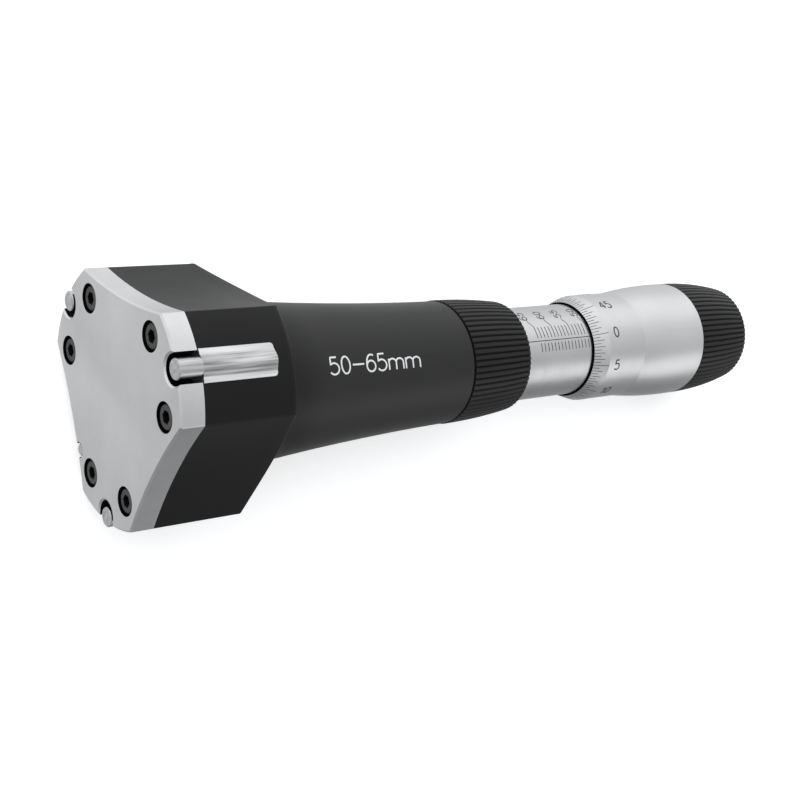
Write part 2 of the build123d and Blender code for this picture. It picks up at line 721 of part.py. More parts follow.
def ratchet_cap():
    """The fluted end cap that turns on the thimble's tail and holds the plunger."""
    arc = ThreePointArc(
        (cap_front_x, CAP_FRONT_R),
        (cap_front_x + CAP_MIDDLE, CAP_MIDDLE_R),
        (cap_front_x + CAP_EDGE, CAP_EDGE_R),
    )
    bore_r = THIMBLE_TAIL_R + RUNNING
    shoulder_r = CAP_SCREW_SHOULDER_R + RUNNING
    rest = Polyline(
        (cap_front_x + CAP_EDGE, CAP_EDGE_R),
        (cap_back_x, CAP_END_R),
        (cap_back_x, CAP_SCREW_HEAD_R + STOP_GAP),
        (cap_recess_x, CAP_SCREW_HEAD_R + STOP_GAP),
        (cap_recess_x, shoulder_r),
        (cap_floor_x, shoulder_r),
        (cap_floor_x, bore_r),
        (cap_front_x, bore_r),
        (cap_front_x, CAP_FRONT_R),
    )
    blank = turned(arc + rest)
    hole_r = PLUNGER_R + RUNNING
    plunger_hole = round_bar(cap_floor_x, plunger_hole_back_x, hole_r, PLUNGER_CIRCLE_R)
    return fluted(blank, arc) - plunger_hole


def ratchet_plunger():
    """The spring plunger whose wedge tip clicks over the teeth."""
    plunger = round_bar(plunger_tip_x, plunger_back_x, PLUNGER_R, PLUNGER_CIRCLE_R)
    reach = PLUNGER_R + RUNNING
    slant = reach * 2 * TOOTH_DEPTH / TOOTH_WIDTH
    for side in (-1, 1):
        cheek = Polyline(
            (plunger_tip_x, 0),
            (plunger_tip_x + slant, side * reach),
            (plunger_tip_x, side * reach),
            close=True,
        )
        cutter = extrude(make_face(Plane.XY * cheek), reach, both=True)
        plunger -= Pos(0, 0, PLUNGER_CIRCLE_R) * cutter
    return plunger


def plunger_spring():
    """The small coil behind the plunger."""
    start_x = plunger_back_x + END_PLAY
    length = plunger_hole_back_x - END_PLAY - start_x
    return coil_spring(
        (start_x, 0, PLUNGER_CIRCLE_R),
        (1, 0, 0),
        length,
        PLUNGER_SPRING_R,
        PLUNGER_WIRE_R,
        PLUNGER_SPRING_TURNS,
    )


def cap_screw():
    """The shoulder screw that holds the end cap on the spindle."""
    seat_x = cap_recess_x + END_PLAY
    screw = disc(spindle_back_x - CAP_SCREW_THREAD_LENGTH, spindle_back_x, CAP_SCREW_THREAD_R)
    screw += disc(spindle_back_x, seat_x, CAP_SCREW_SHOULDER_R)
    screw += disc(seat_x, seat_x + CAP_SCREW_HEAD_HEIGHT, CAP_SCREW_HEAD_R)
    back_x = seat_x + CAP_SCREW_HEAD_HEIGHT
    return screw - hex_socket(back_x - CAP_SCREW_SOCKET_DEPTH, CAP_SCREW_SOCKET_DEPTH, CAP_SCREW_SOCKET)


# The whole tool

pieces = {
    "head_body": head_body(),
    "front_plate": front_plate(),
    "cover_screws": cover_screws(),
    "plate_dowel": plate_dowel(),
    "rod_bush": rod_bush(),
    "guide_key": guide_key(),
    "cone_spring": cone_spring(),
    "drive_cone": drive_cone(),
    "drive_rod": drive_rod(),
    "thrust_ball": thrust_ball(),
    "collar": collar(),
    "sleeve": sleeve(),
    "spindle_nut": spindle_nut(),
    "nut_adjuster": adjuster(),
    "spindle": spindle(),
    "thimble": thimble(),
    "thimble_lock_nut": lock_nut(),
    "ratchet_wheel": ratchet_wheel(),
    "ratchet_cap": ratchet_cap(),
    "ratchet_plunger": ratchet_plunger(),
    "plunger_spring": plunger_spring(),
    "cap_screw": cap_screw(),
}
for index in range(ANVIL_COUNT):
    angle = 360 * index / ANVIL_COUNT
    pieces[f"anvil_block_{index + 1}"] = about_axis(anvil_block(), angle)
    pieces[f"anvil_pin_{index + 1}"] = about_axis(anvil_pin(), angle)
    pieces[f"anvil_spring_{index + 1}"] = about_axis(anvil_spring(), angle)
    pieces[f"spring_post_{index + 1}"] = about_axis(spring_post(), angle)

for name, piece in pieces.items():
    export_step(one_solid(piece), f"parts/{name}.step")
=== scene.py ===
import json
from math import atan2, cos, degrees, hypot, pi, radians, sin, sqrt

import bpy
from mathutils import Matrix, Vector


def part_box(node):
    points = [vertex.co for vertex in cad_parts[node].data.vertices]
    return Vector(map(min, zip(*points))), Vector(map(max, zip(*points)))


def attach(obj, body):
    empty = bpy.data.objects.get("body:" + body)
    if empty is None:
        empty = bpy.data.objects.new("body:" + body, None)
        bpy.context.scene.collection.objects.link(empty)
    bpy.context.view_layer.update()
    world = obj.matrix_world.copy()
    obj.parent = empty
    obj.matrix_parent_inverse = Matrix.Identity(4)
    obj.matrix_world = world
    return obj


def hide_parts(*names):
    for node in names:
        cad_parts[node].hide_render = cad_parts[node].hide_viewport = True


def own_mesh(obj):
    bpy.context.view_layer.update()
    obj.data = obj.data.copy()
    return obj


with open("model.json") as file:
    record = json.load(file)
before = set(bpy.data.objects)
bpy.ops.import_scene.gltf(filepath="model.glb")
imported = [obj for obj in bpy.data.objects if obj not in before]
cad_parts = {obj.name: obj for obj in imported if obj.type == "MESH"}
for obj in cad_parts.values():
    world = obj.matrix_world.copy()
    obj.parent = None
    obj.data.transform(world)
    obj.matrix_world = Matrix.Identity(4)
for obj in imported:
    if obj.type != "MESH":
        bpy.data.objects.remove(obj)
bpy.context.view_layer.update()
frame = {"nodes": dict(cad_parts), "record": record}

# A three-point bore micrometer on a pale floor, in the part's own frame: +X runs along the
# tool from its front face to its tail, and +Z is up. An angle round the tool is in degrees
# from +Z towards +Y. Sizes on the tool are in millimetres and reach Blender times MM. The
# camera, the floor, the lights and the depths of bumps are in metres.

MM = 0.001


# Camera, at the photograph's viewing angle

CAMERA_AT = (-0.105522, -0.031216, 0.217112)
CAMERA_RIGHT = (0.787548, -0.190487, 0.586074)
CAMERA_UP = (0.098412, 0.977698, 0.185531)
CAMERA_BACK = (-0.608345, -0.088438, 0.788730)
LENS = 61.384
SENSOR = 36.0


def add_camera():
    data = bpy.data.cameras.new("camera")
    data.sensor_width = SENSOR
    data.lens = LENS
    data.clip_start = 0.01
    data.clip_end = 20.0
    camera = bpy.data.objects.new("camera", data)
    axes = Matrix((CAMERA_RIGHT, CAMERA_UP, CAMERA_BACK)).transposed().to_4x4()
    camera.matrix_world = Matrix.Translation(CAMERA_AT) @ axes
    bpy.context.scene.collection.objects.link(camera)
    bpy.context.scene.camera = camera


# Materials

NOISE_LOW = 0.3  # most of a noise texture lies between these
NOISE_HIGH = 0.7
RECESS_ROUGH = 0.8


class Nodes:
    """A new material's nodes, with short ways to add and join them."""

    def __init__(self, name):
        self.material = bpy.data.materials.new(name)
        self.material.use_nodes = True
        self.tree = self.material.node_tree
        self.shader = self.tree.nodes["Principled BSDF"]

    def add(self, kind, **values):
        node = self.tree.nodes.new(kind)
        for key, value in values.items():
            if hasattr(node, key):
                setattr(node, key, value)
            else:
                node.inputs[key.replace("_", " ")].default_value = value
        return node

    def join(self, output, socket):
        self.tree.links.new(output, socket)

    def set(self, **values):
        for key, value in values.items():
            self.shader.inputs[key.replace("_", " ")].default_value = value

    def place(self, stretch=(1, 1, 1)):
        coordinates = self.add("ShaderNodeTexCoord")
        mapping = self.add("ShaderNodeMapping")
        mapping.inputs["Scale"].default_value = stretch
        self.join(coordinates.outputs["Object"], mapping.inputs["Vector"])
        return mapping.outputs["Vector"]

    def noise(self, where, scale, detail):
        node = self.add("ShaderNodeTexNoise", Scale=scale, Detail=detail)
        self.join(where, node.inputs["Vector"])
        return node.outputs["Fac"]

    def ramp(self, value, low, high, start=NOISE_LOW, end=NOISE_HIGH):
        node = self.add("ShaderNodeValToRGB")
        node.color_ramp.elements[0].position = start
        node.color_ramp.elements[1].position = end
        node.color_ramp.elements[0].color = low
        node.color_ramp.elements[1].color = high
        self.join(value, node.inputs["Fac"])
        return node.outputs["Color"]

    def spread(self, value, low, high):
        node = self.add(
            "ShaderNodeMapRange", From_Min=NOISE_LOW, From_Max=NOISE_HIGH, To_Min=low, To_Max=high
        )
        self.join(value, node.inputs["Value"])
        return node.outputs["Result"]

    def maths(self, operation, first, second):
        node = self.add("ShaderNodeMath", operation=operation)
        for socket, value in zip(node.inputs, (first, second)):
            if isinstance(value, (int, float)):
                socket.default_value = value
            else:
                self.join(value, socket)
        return node.outputs[0]

    def turned(self, angle=0.0):
        """X, Y and Z of a point, turned about the X axis by that many degrees."""
        coordinates = self.add("ShaderNodeTexCoord")
        mapping = self.add("ShaderNodeMapping")
        mapping.inputs["Rotation"].default_value = (radians(angle), 0.0, 0.0)
        split = self.add("ShaderNodeSeparateXYZ")
        self.join(coordinates.outputs["Object"], mapping.inputs["Vector"])
        self.join(mapping.outputs["Vector"], split.inputs["Vector"])
        return split.outputs

    def offset(self, centre):
        """How far a point lies in Y and Z from centre (y, z), which is in millimetres."""
        places = zip(self.turned()[1:], centre)
        return [self.maths("SUBTRACT", value, part * MM) for value, part in places]

    def within(self, centre, radius):
        """1 nearer than radius to a line along X through centre (y, z), in millimetres."""
        squares = [self.maths("MULTIPLY", value, value) for value in self.offset(centre)]
        return self.maths("LESS_THAN", self.maths("ADD", *squares), (radius * MM) ** 2)

    def within_hexagon(self, centre, across):
        """1 inside a hexagon round centre (y, z), across its flats, with a corner towards +Y."""
        side, rise = self.offset(centre)
        inside = 1.0
        for turn in (radians(30), radians(90), radians(150)):
            along = self.maths("MULTIPLY", side, cos(turn))
            up = self.maths("MULTIPLY", rise, sin(turn))
            reach = self.maths("ABSOLUTE", self.maths("ADD", along, up), 0.0)
            near = self.maths("LESS_THAN", reach, across / 2 * MM)
            inside = self.maths("MULTIPLY", near, inside)
        return inside

    def paint_shade(self, masks, tone):
        """Paints shade: blackens the base colour and dulls the gloss where any of the masks is 1.
        """
        where = masks[0]
        for mask in masks[1:]:
            where = self.maths("MAXIMUM", where, mask)
        # A Mix node's sockets go by number: 6 and 7 are its two colours, and 2 is the mixed one
        colour = self.shader.inputs["Base Color"]
        mix = self.add("ShaderNodeMix", data_type="RGBA")
        self.join(where, mix.inputs[0])
        self.join(colour.links[0].from_socket, mix.inputs[6])
        mix.inputs[7].default_value = tint(tone)
        self.join(mix.outputs[2], colour)
        rough = self.shader.inputs["Roughness"]
        dull = self.maths("MULTIPLY", where, RECESS_ROUGH)
        self.join(self.maths("MAXIMUM", rough.links[0].from_socket, dull), rough)

    def bump(self, value, strength, distance):
        node = self.add("ShaderNodeBump", Strength=strength, Distance=distance)
        self.join(value, node.inputs["Height"])
        self.join(node.outputs["Normal"], self.shader.inputs["Normal"])


def tint(value):
    """A colour as it is given, or the barely cool grey of that value."""
    return value if isinstance(value, tuple) else (value, value, value * 1.01, 1.0)


def metal(name, low, high, rough, grain, stretch, bump):
    """Bare metal with a grain that runs one way and a slow cloud of tone."""
    m = Nodes(name)
    m.set(Metallic=1.0)
    cloud = m.noise(m.place(), scale=60.0, detail=3.0)
    lines = m.noise(m.place(stretch), scale=grain, detail=6.0)
    fine = m.noise(m.place(), scale=900.0, detail=2.0)
    m.join(m.ramp(cloud, tint(low), tint(high)), m.shader.inputs["Base Color"])
    m.join(m.spread(lines, rough - 0.05, rough + 0.05), m.shader.inputs["Roughness"])
    m.bump(m.maths("ADD", lines, fine), strength=bump, distance=0.00002)
    return m


def streaked(name, low, high, rough):
    """Steel that was ground by hand along X: long uneven streaks of light and dark."""
    m = Nodes(name)
    m.set(Metallic=1.0)
    broad = m.noise(m.place((0.08, 1.0, 1.0)), scale=900.0, detail=5.0)
    thin = m.noise(m.place((0.03, 1.0, 1.0)), scale=3200.0, detail=4.0)
    shares = m.maths("MULTIPLY", broad, 0.6), m.maths("MULTIPLY", thin, 0.4)
    streaks = m.maths("ADD", *shares)
    colour = m.ramp(streaks, tint(low), tint(high), start=0.38, end=0.62)
    m.join(colour, m.shader.inputs["Base Color"])
    m.join(m.spread(streaks, rough - 0.06, rough + 0.08), m.shader.inputs["Roughness"])
    m.bump(thin, strength=0.25, distance=0.00004)
    return m


TONE_START_X = 24
TONE_END_X = 36


def black(name, tone, far_tone, rough, bump):
    """Matt black anodised alloy with the fine tooth of blasted metal, lighter along the neck."""
    m = Nodes(name)
    m.set(Metallic=0.0, IOR=1.5, Specular_IOR_Level=0.2)
    cloud = m.noise(m.place(), scale=40.0, detail=3.0)
    tooth = m.noise(m.place(), scale=5200.0, detail=2.0)
    along = m.add("ShaderNodeMapRange", From_Min=TONE_START_X * MM, From_Max=TONE_END_X * MM)
    m.join(m.turned()[0], along.inputs["Value"])
    colour = m.ramp(along.outputs[0], tint(tone), tint(far_tone), start=0.0, end=1.0)
    m.join(colour, m.shader.inputs["Base Color"])
    m.join(m.spread(cloud, rough - 0.04, rough + 0.04), m.shader.inputs["Roughness"])
    m.bump(tooth, strength=bump, distance=0.00001)
    return m


def paint(name, tone, rough):
    """The fill of an engraved mark."""
    m = Nodes(name)
    m.set(IOR=1.45)
    speck = m.noise(m.place(), scale=3000.0, detail=2.0)
    m.join(m.ramp(speck, tint(tone * 0.85), tint(tone)), m.shader.inputs["Base Color"])
    m.join(m.spread(speck, rough, rough + 0.1), m.shader.inputs["Roughness"])
    return m


LOBE_R = 24.0
THIRD = 120  # from one lobe's tip to the next
TIPS = (0, THIRD, 2 * THIRD)
SCREW_CIRCLE_R = 18.5
SCREW_HALF_ANGLE = 21.7
COUNTERBORE_R = 2.7
SOCKET_ACROSS = 2.25
DOWEL_HOLE_R = 1.5
DOWEL_PLACE = (-6.69, -17.71)
NOTCH_HALF_WIDTH = 2.7
NOTCH_ROUND_R = 22.7
MOUTH_R = 10.48
EDGE = 0.02
EVEN = (1.0, 1.0, 1.0)
ROUND = (1.0, 0.04, 0.04)


def polar(radius, angle):
    """(y, z) at that angle from +Z towards +Y."""
    return radius * sin(radians(angle)), radius * cos(radians(angle))


def in_notch(m, tip):
    """1 on the walls of the plate's notch at that lobe, above its round floor."""
    _, y, z = m.turned(tip)
    near = m.maths("LESS_THAN", m.maths("ABSOLUTE", y, 0.0), (NOTCH_HALF_WIDTH + EDGE) * MM)
    high = m.maths("GREATER_THAN", z, NOTCH_ROUND_R * MM)
    return m.maths("MULTIPLY", near, high)


screw_places = [polar(SCREW_CIRCLE_R, t + s * SCREW_HALF_ANGLE) for t in TIPS for s in (-1, 1)]

ground = metal("ground_steel", 0.58, 0.68, rough=0.36, grain=1500.0, stretch=EVEN, bump=0.06)
# Painted shade: the plate's counterbores, dowel hole and notch walls and floors are blackened where
# shade falls in them
painted_shade_recesses = [ground.within(place, COUNTERBORE_R + EDGE) for place in screw_places]
painted_shade_recesses.append(ground.within(DOWEL_PLACE, DOWEL_HOLE_R + EDGE))
painted_shade_recesses += [in_notch(ground, tip) for tip in TIPS]
notch_floors = [polar(NOTCH_ROUND_R, tip) for tip in TIPS]
painted_shade_recesses += [ground.within(place, NOTCH_HALF_WIDTH + EDGE) for place in notch_floors]
ground.paint_shade(painted_shade_recesses, tone=0.010)
chrome = metal("satin_chrome", 0.50, 0.56, rough=0.36, grain=2600.0, stretch=ROUND, bump=0.05)
thimble_chrome = metal(
    "thimble_chrome", 0.55, 0.61, rough=0.36, grain=2600.0, stretch=ROUND, bump=0.05
)
# Painted shade: the thimble's mouth inside MOUTH_R is blackened where the gap to the sleeve lies in
# shade
thimble_chrome.paint_shade([thimble_chrome.within((0.0, 0.0), MOUTH_R)], tone=0.004)
anvil = streaked("anvil_steel", 0.55, 0.80, rough=0.34)
ridge = streaked("anvil_ridge", 0.20, 0.66, rough=0.36)
carbide = streaked("carbide", 0.34, 0.62, rough=0.30)
inner = metal("inner_steel", 0.48, 0.58, rough=0.35, grain=1500.0, stretch=EVEN, bump=0.05)
wire = metal("spring_wire", 0.35, 0.45, rough=0.35, grain=1500.0, stretch=EVEN, bump=0.05)
tarnish, shine = (0.50, 0.33, 0.13, 1.0), (0.62, 0.43, 0.18, 1.0)
bronze = metal("bronze", tarnish, shine, rough=0.35, grain=1200.0, stretch=ROUND, bump=0.05)
anodised = black("anodised_head", tone=0.004, far_tone=0.022, rough=0.42, bump=0.12)
grip = black("anodised_grip", tone=0.012, far_tone=0.012, rough=0.42, bump=0.08)
oxide = black("black_oxide", tone=0.042, far_tone=0.042, rough=0.42, bump=0.10)
# Painted shade: the hex sockets of the screw heads are darker than the black oxide round them,
# where shade falls in them
sockets = [oxide.within_hexagon(place, SOCKET_ACROSS) for place in screw_places]
oxide.paint_shade(sockets, tone=0.001)
mark_black = paint("mark_black", tone=0.025, rough=0.6)
mark_white = paint("mark_white", tone=0.85, rough=0.6)

finish_of = {
    "head_body": anodised,
    "front_plate": ground,
    "cover_screws": oxide,
    "rod_bush": bronze,
    "spindle_nut": bronze,
    "collar": grip,
    "ratchet_cap": grip,
    "sleeve": chrome,
    "thimble": thimble_chrome,
    "cap_screw": oxide,
}
for name, node in frame["nodes"].items():
    if name.startswith("anvil_block"):
        finish = anvil
    elif name.startswith("anvil_pin"):
        finish = carbide
    elif "spring" in name and "post" not in name:
        finish = wire
    else:
        finish = finish_of.get(name, inner)
    node.data.materials.clear()
    node.data.materials.append(finish.material)


# The turned surfaces that carry marks, as radius along the axis, in millimetres


def circle_through(a, b, c):
    """Centre and radius of the circle through three points (x, radius)."""
    d = 2 * (a[0] * (b[1] - c[1]) + b[0] * (c[1] - a[1]) + c[0] * (a[1] - b[1]))
    sa, sb, sc = (p[0] ** 2 + p[1] ** 2 for p in (a, b, c))
    x = (sa * (b[1] - c[1]) + sb * (c[1] - a[1]) + sc * (a[1] - b[1])) / d
    y = (sa * (c[0] - b[0]) + sb * (a[0] - c[0]) + sc * (b[0] - a[0])) / d
    return x, y, hypot(a[0] - x, a[1] - y)


NECK_POINTS = (25.4, 15.35), (46.0, 13.73), (72.6, 12.68)
neck_x, neck_y, neck_r = circle_through(*NECK_POINTS)
THIMBLE_FRONT = 108.9
BEVEL = 3.9
LIP_R = 10.4
SCALE_R = 11.77
SLEEVE_R = 10.05


def neck(x):
    return neck_y - sqrt(neck_r**2 - (x - neck_x) ** 2)


def barrel(x):
    return SLEEVE_R


def thimble(x):
    share = min(max((x - THIMBLE_FRONT) / BEVEL, 0.0), 1.0)
    return LIP_R + (SCALE_R - LIP_R) * share


# Marks: strokes laid on a turned surface, each a thin closed strip

LIFT = 0.012
SUNK = 0.06
STEP = 0.25
ROUND_UP = 0.99


def on_surface(surface, x, angle, lift):
    r = surface(x) + lift
    a = radians(angle)
    return Vector((x, r * sin(a), r * cos(a))) * MM


def denser(points, surface):
    """The stroke's points (x, angle) with others between, so that it follows the surface."""
    out = [points[0]]
    for (x0, a0), (x1, a1) in zip(points, points[1:]):
        r = surface((x0 + x1) / 2)
        count = max(1, int(hypot(x1 - x0, radians(a1 - a0) * r) / STEP + ROUND_UP))
        for k in range(1, count + 1):
            out.append((x0 + (x1 - x0) * k / count, a0 + (a1 - a0) * k / count))
    return out


def add_stroke(parts, points, width, surface, closed=False):
    """Adds one strip of that width, in millimetres, to the vertices and faces."""
    vertices, faces = parts
    run = denser(points, surface)
    if closed:
        run = run[:-1]
    count = len(run)
    base = len(vertices)
    for k, (x, angle) in enumerate(run):
        before = run[k - 1] if closed or k else run[k]
        after = run[(k + 1) % count] if closed or k < count - 1 else run[k]
        r = surface(x)
        along = Vector((after[0] - before[0], radians(after[1] - before[1]) * r))
        along.normalize()
        side = Vector((-along.y, along.x)) * width / 2
        for sign in (1, -1):
            for lift in (LIFT, -SUNK):
                where = x + sign * side.x, angle + sign * degrees(side.y / r)
                vertices.append(on_surface(surface, *where, lift))
    links = count if closed else count - 1
    for k in range(links):
        a = base + 4 * k
        b = base + 4 * ((k + 1) % count)
        faces += [(a, a + 2, b + 2, b), (a + 1, b + 1, b + 3, a + 3)]
        faces += [(a, b, b + 1, a + 1), (a + 2, a + 3, b + 3, b + 2)]
    if not closed:
        end = base + 4 * (count - 1)
        faces += [(base, base + 1, base + 3, base + 2), (end, end + 2, end + 3, end + 1)]


def add_piece(name, parts, finish, body, smooth_under=None):
    """Makes a piece from (vertices, faces) and lets it ride on that body."""
    mesh = bpy.data.meshes.new(name)
    mesh.from_pydata(parts[0], [], parts[1])
    mesh.validate()
    mesh.materials.append(finish.material)
    if smooth_under is not None:
        mesh.shade_smooth()
        mesh.set_sharp_from_angle(angle=radians(smooth_under))
    piece = bpy.data.objects.new(name, mesh)
    bpy.context.scene.collection.objects.link(piece)
    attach(piece, body)


# A plain engraver's lettering: strokes in a box 1 high, with y up from the foot


def bow(cx, cy, rx, ry, start, end, count=18):
    """Points of an arc, in degrees from the right, anticlockwise."""
    steps = [start + (end - start) * k / count for k in range(count + 1)]
    return [(cx + rx * cos(radians(a)), cy + ry * sin(radians(a))) for a in steps]


def glyph(character):
    """(width, strokes) of one character."""
    if character == "0":
        return 0.58, [bow(0.29, 0.5, 0.29, 0.5, 90, 450, 32)]
    if character == "1":
        return 0.30, [[(0.0, 0.78), (0.24, 1.0), (0.24, 0.0)]]
    if character == "2":
        return 0.60, [bow(0.29, 0.70, 0.29, 0.30, 170, -30) + [(0.0, 0.0), (0.60, 0.0)]]
    if character == "3":
        upper = bow(0.28, 0.75, 0.26, 0.25, 160, -90)
        return 0.60, [upper + bow(0.28, 0.26, 0.31, 0.26, 90, -160)[1:]]
    if character == "4":
        return 0.66, [[(0.46, 0.0), (0.46, 1.0), (0.0, 0.28), (0.66, 0.28)]]
    if character == "5":
        bowl = bow(0.27, 0.33, 0.33, 0.33, 128, -145, 22)
        return 0.60, [[(0.50, 1.0), (0.08, 1.0), (0.04, 0.56)] + bowl]
    if character == "6":
        stem = bow(0.36, 0.42, 0.36, 0.58, 62, 180, 14)
        return 0.60, [stem + bow(0.30, 0.32, 0.30, 0.32, 180, 540, 30)]
    if character == "-":
        return 0.80, [[(0.0, 0.48), (0.80, 0.48)]]
    if character == "m":
        left = bow(0.26, 0.43, 0.26, 0.22, 180, 0, 12)
        right = bow(0.78, 0.43, 0.26, 0.22, 180, 0, 12)
        strokes = [[(0.0, 0.66), (0.0, 0.0)], left + [(0.52, 0.0)], right + [(1.04, 0.0)]]
        return 1.04, strokes
    raise ValueError(character)


def write_along(parts, text, left, foot, height, gap, pen, surface, broad=1.0, fall=0.0):
    """Letters that read along +X, tops towards a larger angle, the line falling as it goes."""
    x = left
    for character in text:
        width, strokes = glyph(character)
        for stroke in strokes:
            run = []
            for u, v in stroke:
                place = x + u * height * broad
                line = foot - fall * (place - left)
                run.append((place, line + degrees(v * height / surface(place))))
            add_stroke(parts, run, pen, surface, closed=character == "0")
        x += width * height * broad + gap


def write_round(parts, text, foot_x, start, height, gap, pen, surface):
    """Letters that read round the tool, with their tops towards the head."""
    angle = start
    r = surface(foot_x)
    for character in text:
        width, strokes = glyph(character)
        for stroke in strokes:
            run = [(foot_x - v * height, angle + degrees(u * height / r)) for u, v in stroke]
            add_stroke(parts, run, pen, surface, closed=character == "0")
        angle += degrees((width * height + gap) / r)


# Range marking on the neck

RANGE_LEFT = 36.55
RANGE_FOOT = -9.3
RANGE_FALL = 0.068
RANGE_HEIGHT = 3.2
RANGE_BROAD = 1.07
RANGE_GAP = 0.66
RANGE_PEN = 0.33
range_marks = ([], [])
write_along(
    range_marks, "50-65mm", RANGE_LEFT, RANGE_FOOT, RANGE_HEIGHT, RANGE_GAP, RANGE_PEN, neck,
    RANGE_BROAD, RANGE_FALL,
)
add_piece("range_marking", range_marks, mark_white, "housing")

# Graduations of the sleeve: whole millimetres above the datum line, halves below it

DATUM = 4.0
DATUM_START_X = 88.9
DATUM_END_X = THIMBLE_FRONT + 0.6
FIRST_MARK_X = 108.5
FIRST_READING = 50
SPAN = 15
LABELLED_EVERY = 5
SLEEVE_PEN = 0.17
WHOLE_FOOT = 7.5
WHOLE_TOP = 22.3
LABELLED_TOP = 24.0
HALF_TOP = 1.2
HALF_FOOT = -9.5
LEADER_PEN = 0.15
LEADER_SHIFT = 0.75
LEADER_BEND = 30.3
LEADER_TOP = 34.0
LABEL_SHIFT = 0.3
LABEL_START = 34.8
LABEL_HEIGHT = 1.8
LABEL_GAP = 0.40
LABEL_PEN = 0.21
sleeve_marks = ([], [])
add_stroke(sleeve_marks, [(DATUM_START_X, DATUM), (DATUM_END_X, DATUM)], SLEEVE_PEN, barrel)
for step in range(SPAN + 1):
    x = FIRST_MARK_X - step
    labelled = step % LABELLED_EVERY == 0
    top = LABELLED_TOP if labelled else WHOLE_TOP
    add_stroke(sleeve_marks, [(x, WHOLE_FOOT), (x, top)], SLEEVE_PEN, barrel)
    if labelled:
        leader_x = x - LEADER_SHIFT
        leader = [(x, top), (leader_x, LEADER_BEND), (leader_x, LEADER_TOP)]
        add_stroke(sleeve_marks, leader, LEADER_PEN, barrel)
        write_round(
            sleeve_marks, str(FIRST_READING + step), x - LABEL_SHIFT, LABEL_START, LABEL_HEIGHT,
            LABEL_GAP, LABEL_PEN, barrel,
        )
    if step < SPAN:
        add_stroke(sleeve_marks, [(x - 0.5, HALF_TOP), (x - 0.5, HALF_FOOT)], SLEEVE_PEN, barrel)
add_piece("sleeve_graduations", sleeve_marks, mark_black, "housing")

# Graduations of the thimble

DIVISIONS = 100
TICK_START = THIMBLE_FRONT + 0.25
LONG_END = 112.8
MEDIUM_END = 111.6
SHORT_END = 110.75
NUMBER_LEFT = 114.7
NUMBER_HEIGHT = 2.2
NUMBER_GAP = 0.5
NUMBER_PEN = 0.31
THIMBLE_PEN = 0.12
thimble_marks = ([], [])
for step in range(DIVISIONS):
    angle = DATUM - 360.0 * step / DIVISIONS
    end = SHORT_END if step % 2 else MEDIUM_END
    if step % 10 == 0:
        end = LONG_END
        foot = angle - degrees(NUMBER_HEIGHT / 2 / SCALE_R)
        write_along(
            thimble_marks, str(step // 2), NUMBER_LEFT, foot, NUMBER_HEIGHT, NUMBER_GAP, NUMBER_PEN,
            thimble,
        )
    add_stroke(thimble_marks, [(TICK_START, angle), (end, angle)], THIMBLE_PEN, thimble)
add_piece("thimble_graduations", thimble_marks, mark_black, "thimble_assembly")


# The head's back: the lobes slope towards the neck behind the hollow sides

LOBE_HALF_ANGLE = 23.7
SIDE_HOLLOW = 1.1
SIDE_MIDDLE = THIRD / 2
HEAD_BACK_X = 22.6
BACK_START_X = HEAD_BACK_X - 1.2
LOBE_CORNER = 0.85
SIDE_CORNER = 0.3
CORNER_STEPS = 5
SLOPE_STEPS = 4
ROOT_STEPS = 12
RIM_X = 22.65
SLOPE_END = (24.4, 17.7)
NECK_CORNER = (25.05, 15.38)
NECK_END_X = 29.5
NECK_DEPTH = 0.5
BACK_INNER_R = 14.0
COVER = 0.006
ANGLE_STEP = 1.5
ANGLE_GAP = 0.3


def head_radius(angle):
    """Radius of the head's outline at an angle from the nearest lobe's tip."""
    if abs(angle) <= LOBE_HALF_ANGLE:
        return LOBE_R
    corner = radians(SIDE_MIDDLE - LOBE_HALF_ANGLE)
    half_chord = LOBE_R * sin(corner)
    side_r = (half_chord**2 + SIDE_HOLLOW**2) / (2 * SIDE_HOLLOW)
    centre_r = LOBE_R * cos(corner) - SIDE_HOLLOW + side_r
    off = radians(SIDE_MIDDLE - abs(angle))
    return centre_r * cos(off) - sqrt(side_r**2 - (centre_r * sin(off)) ** 2)


def back_x(radius):
    """Where the sloping back lies at a radius."""
    share = (LOBE_R - radius) / (LOBE_R - SLOPE_END[1])
    return RIM_X + (SLOPE_END[0] - RIM_X) * share


def back_column(angle):
    """One section of the back as (x, radius), from the side wall round to the neck."""
    rim = head_radius(angle) + COVER
    nearest = head_radius(SIDE_MIDDLE)
    corner = SIDE_CORNER + (LOBE_CORNER - SIDE_CORNER) * (rim - nearest) / (LOBE_R - nearest)
    low = rim - corner
    column = [(BACK_START_X, rim)]
    for k in range(CORNER_STEPS):
        turn = pi / 2 * k / CORNER_STEPS
        column.append((back_x(low) - corner * (1 - sin(turn)), low + corner * cos(turn)))
    for k in range(SLOPE_STEPS + 1):
        radius = low + (SLOPE_END[1] - low) * k / SLOPE_STEPS
        column.append((back_x(radius), radius))
    end = (NECK_END_X, neck(NECK_END_X) + COVER)
    for k in range(1, ROOT_STEPS + 1):
        t = k / ROOT_STEPS
        weights = ((1 - t) ** 2, 2 * t * (1 - t), t**2)
        column.append(tuple(
            sum(w * p[i] for w, p in zip(weights, (SLOPE_END, NECK_CORNER, end))) for i in (0, 1)
        ))
    return column + [(NECK_END_X, end[1] - NECK_DEPTH), (BACK_START_X, BACK_INNER_R)]


